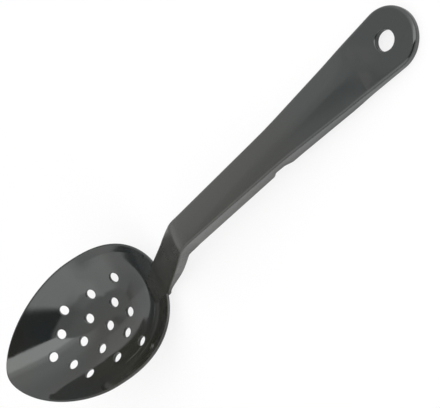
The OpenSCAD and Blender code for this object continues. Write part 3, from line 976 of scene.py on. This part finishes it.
def plastic(name, of_handle):
    """Black polished moulding: faint tints, uneven polish, hairlines and edges dulled by handling.
    That of the handle is also duller along the neck and bluer towards the hang end."""
    n = Nodes(name)
    place = n.node("TexCoord", output="Object")
    scratches = 0.0
    for turn, along_it, across_it, few in SCRATCHES:
        turned = n.node("Mapping", {"Vector": place, "Rotation": turn,
                                    "Scale": (along_it, across_it, along_it)})
        lines = n.range(n.noise(turned, *SCRATCH_NOISE), few, few + SCRATCH_SOFTNESS)
        scratches = n.math("MAXIMUM", lines, scratches)
    scratches = n.math("MULTIPLY", scratches, n.range(n.noise(place, *WORN_NOISE), *WORN_RANGE))
    edges = n.range(n.node("NewGeometry", output="Pointiness"), *EDGE_RANGE)
    uneven = n.range(n.noise(place, *EDGE_NOISE), *EDGE_NOISE_RANGE, LEAST_EDGE_SHARE, 1.0)
    edges = n.math("MULTIPLY", edges, uneven)
    tint = n.range(n.noise(place, *TINT_NOISE), *TINT_RANGE)
    if of_handle:
        along_x = n.node("SeparateXYZ", {0: place})
        tint = n.math("ADD", n.math("MULTIPLY", tint, 1 - BLUE_END_SHARE),
                      n.range(along_x, *BLUE_RANGE, 0.0, BLUE_END_SHARE))
    colour = n.colours(tint, OLIVE_BLACK, BLUE_BLACK)
    colour = n.colours(n.math("MULTIPLY", scratches, SCRATCH_PALE_SHARE), colour, WORN_BLACK)
    colour = n.colours(n.math("MULTIPLY", edges, EDGE_PALE_SHARE), colour, WORN_BLACK)
    n.link(colour, n.shader.inputs["Base Color"])
    rough = n.range(n.noise(place, *HAZE_NOISE), *HAZE_RANGE, SMOOTH_ROUGHNESS, HAZY_ROUGHNESS)
    marks = n.math("MAXIMUM", scratches, edges)
    rough = n.math("ADD", rough, n.math("MULTIPLY", marks, SCRATCH_ROUGHNESS))
    if of_handle:
        dull = n.math("MULTIPLY", n.range(along_x, *DULL_FROM), n.range(along_x, *DULL_TO))
        rough = n.math("ADD", rough, n.math("MULTIPLY", dull, NECK_ROUGHNESS - SMOOTH_ROUGHNESS))
    n.link(rough, n.shader.inputs["Roughness"])
    peel = n.math("MULTIPLY", n.noise(place, *PEEL_NOISE), PEEL_DEPTH)
    grain = n.math("MULTIPLY", n.noise(place, *GRAIN_NOISE), GRAIN_DEPTH)
    cut = n.math("MULTIPLY", scratches, -SCRATCH_DEPTH)
    relief = n.math("ADD", n.math("ADD", peel, grain), cut)
    n.link(n.node("Bump", {"Height": relief, "Distance": 1.0}), n.shader.inputs["Normal"])
    n.shader.inputs["IOR"].default_value = GLOSS_IOR
    n.shader.inputs["Specular Tint"].default_value = GLOSS_TINT
    return n.material


# Floor: white to the camera and in the gloss by these shares, and for the rest as it is lit
FLOOR_HALF = 0.45
FLOOR_COLOUR = (0.88, 0.88, 0.88, 1)
FLOOR_ROUGHNESS = 0.9
CAMERA_WHITE_SHARE = 0.82
GLOSS_WHITE_SHARE = 0.15
FLOOR_GAP = 0.0001


def make_floor():
    """Plain white floor just under the lowest point of the spoon."""
    mesh = bpy.data.meshes.new("floor")
    half, low = FLOOR_HALF, CAD_BOX[0][2] - FLOOR_GAP
    corners = [(-half, -half, low), (half, -half, low), (half, half, low), (-half, half, low)]
    mesh.from_pydata(corners, [], [(0, 1, 2, 3)])
    floor = bpy.data.objects.new("floor", mesh)
    bpy.context.scene.collection.objects.link(floor)
    n = Nodes("floor")
    n.shader.inputs["Base Color"].default_value = FLOOR_COLOUR
    n.shader.inputs["Roughness"].default_value = FLOOR_ROUGHNESS
    rays = n.tree.nodes.new("ShaderNodeLightPath").outputs
    in_gloss = n.math("MAXIMUM", rays["Is Glossy Ray"], rays["Is Transmission Ray"])
    white = n.math("MAXIMUM", n.math("MULTIPLY", rays["Is Camera Ray"], CAMERA_WHITE_SHARE),
                   n.math("MULTIPLY", in_gloss, GLOSS_WHITE_SHARE))
    lit, glow = n.shader.outputs[0], n.node("Emission")
    n.link(n.node("MixShader", {0: white, 1: lit, 2: glow}), n.surface)
    mesh.materials.append(n.material)


# A light tent round the spoon, made of soft panels. Azimuth 0 is +Y and 90 is +X, in degrees. A
# panel is its azimuths, its elevations, the fall of its upper edge per degree of azimuth, its
# level, and how soft its left, right and upper edges are. A later panel covers the earlier ones.
TENT_AT = (-0.08, 0.0, 0.02)
TENT_R = 1.6
TENT_RINGS = 24
TENT_BASE = 0.85
TENT_LOW_SOFT = 3
FULL_TURN = 360.0
TENT_PANELS = (
    ((165, 250), (8, 61), 0.0, 1.05, 4, 22, 3),
    ((167, 203), (14, 43), -0.6, 1.85, 3, 3, 2),
    ((198, 226), (28, 61.5), 0.0, 1.6, 3, 10, 1.5),
    ((22, 126), (-60, 82), 0.28, 1.3, 22, 3, 4),
    ((64, 126), (-60, 73), 0.3, 1.8, 12, 3, 2.5),
    ((85, 122), (-60, 67), 0.33, 2.95, 7, 1.5, 1.5),
    ((122, 171), (40, 61), 0.0, 0.72, 2, 8, 6),
    ((122, 166), (-60, 48), 0.1, 0.03, 2, 4, 1.5),
    ((256, 281), (57, 64), 0.0, 0.6, 3, 3, 2),
    ((322, 339.7), (50, 80), 0.0, 0.56, 12, 0.5, 4),
    ((300, 341), (40, 63.7), 0.0, 0.91, 8, 3, 0.7),
    ((282, 350), (20, 60), 0.0, 1.06, 4, 5, 1.5),
    ((252, 345), (-60, 11), 0.0, 0.3, 6, 8, 5),
)


def make_tent():
    """A large sphere that lights the scene from within and that the camera doesn't see."""
    mesh = bpy.data.meshes.new("light_tent")
    build = bmesh.new()
    bmesh.ops.create_uvsphere(build, u_segments=2 * TENT_RINGS, v_segments=TENT_RINGS,
                              radius=TENT_R)
    bmesh.ops.reverse_faces(build, faces=build.faces)
    build.to_mesh(mesh)
    build.free()
    tent = bpy.data.objects.new("light_tent", mesh)
    tent.location = TENT_AT
    bpy.context.scene.collection.objects.link(tent)
    n = Nodes("light_tent")
    way = n.node("VectorMath", {0: n.node("TexCoord", output="Object")}, operation="NORMALIZE")
    x, y, z = n.tree.nodes.new("ShaderNodeSeparateXYZ").outputs
    n.link(way, x.node.inputs[0])
    turn = n.math("DEGREES", n.math("ARCTAN2", x, y))
    azimuth = n.math("FLOORED_MODULO", turn, FULL_TURN)
    elevation = n.math("DEGREES", n.math("ARCSINE", z))
    level = TENT_BASE
    for (left, right), (low, high), fall, value, soft_left, soft_right, soft_high in TENT_PANELS:
        inside = n.math("MULTIPLY", n.range(azimuth, left - soft_left, left + soft_left),
                        n.range(azimuth, right + soft_right, right - soft_right))
        lift = n.math("MULTIPLY", n.math("SUBTRACT", azimuth, left), fall)
        raised = n.math("ADD", elevation, lift)
        inside = n.math("MULTIPLY", inside, n.range(raised, high + soft_high, high - soft_high))
        inside = n.math("MULTIPLY", inside,
                        n.range(elevation, low - TENT_LOW_SOFT, low + TENT_LOW_SOFT))
        level = n.math("ADD", n.math("MULTIPLY", inside, n.math("SUBTRACT", value, level)), level)
    n.link(n.node("Emission", {"Strength": level}), n.surface)
    mesh.materials.append(n.material)
    tent.visible_camera = False


WORLD_COLOUR = (1, 1, 1, 1)


def make_world():
    """Plain white beyond the floor."""
    world = bpy.data.worlds.new("studio")
    world.use_nodes = True
    world.node_tree.nodes["Background"].inputs["Color"].default_value = WORLD_COLOUR
    bpy.context.scene.world = world


# Camera. Azimuth 0 looks towards +Y and 90 towards +X, and the elevation is how far it looks
# down. The focal length is in pixels of an image of that width.
VIEW_AT = Vector((0.2611511, -0.1206661, 0.2349127))
VIEW_AZIMUTH = math.radians(-63.155)
VIEW_ELEVATION = math.radians(39.8902)
VIEW_ROLL = math.radians(-98.9747)
FOCAL_PX = 824.734
IMAGE_W = 440
SENSOR_W = 36.0


def make_camera():
    """The photograph's view: above the hang end, looking down along the handle, and rolled."""
    data = bpy.data.cameras.new("camera")
    data.sensor_width = SENSOR_W
    data.lens = FOCAL_PX * SENSOR_W / IMAGE_W
    camera = bpy.data.objects.new("camera", data)
    flat = Vector((math.sin(VIEW_AZIMUTH), math.cos(VIEW_AZIMUTH), 0))
    forward = flat * math.cos(VIEW_ELEVATION) - Vector((0, 0, math.sin(VIEW_ELEVATION)))
    level = forward.cross(Vector((0, 0, 1))).normalized()
    upward = level.cross(forward)
    right = level * math.cos(VIEW_ROLL) + upward * math.sin(VIEW_ROLL)
    top = right.cross(forward)
    turn = Matrix((right, top, -forward)).transposed()
    camera.matrix_world = Matrix.Translation(VIEW_AT) @ turn.to_4x4()
    bpy.context.scene.collection.objects.link(camera)
    bpy.context.scene.camera = camera


def main():
    """Builds the spoon over its CAD part, and the stage round it."""
    bowl = make_bowl()
    neck, handle = make_neck_and_handle()
    hang_end = make_hang_end()
    bowl_plastic, handle_plastic = plastic("bowl_plastic", False), plastic("handle_plastic", True)
    for piece, nodes in ((bowl, ("bowl", "bowl_rim")),
                         (neck, ("neck_root", "neck_deck", "neck_wall_left", "neck_wall_right")),
                         (handle, ("handle_deck", "handle_wall_left", "handle_wall_right")),
                         (hang_end, ("hang_end",))):
        piece.data.materials.append(bowl_plastic if piece == bowl else handle_plastic)
        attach(piece, BODY)
        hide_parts(*nodes)
    make_floor()
    make_tent()
    make_world()
    make_camera()


main()
bpy.context.scene.view_settings.view_transform = "Standard"
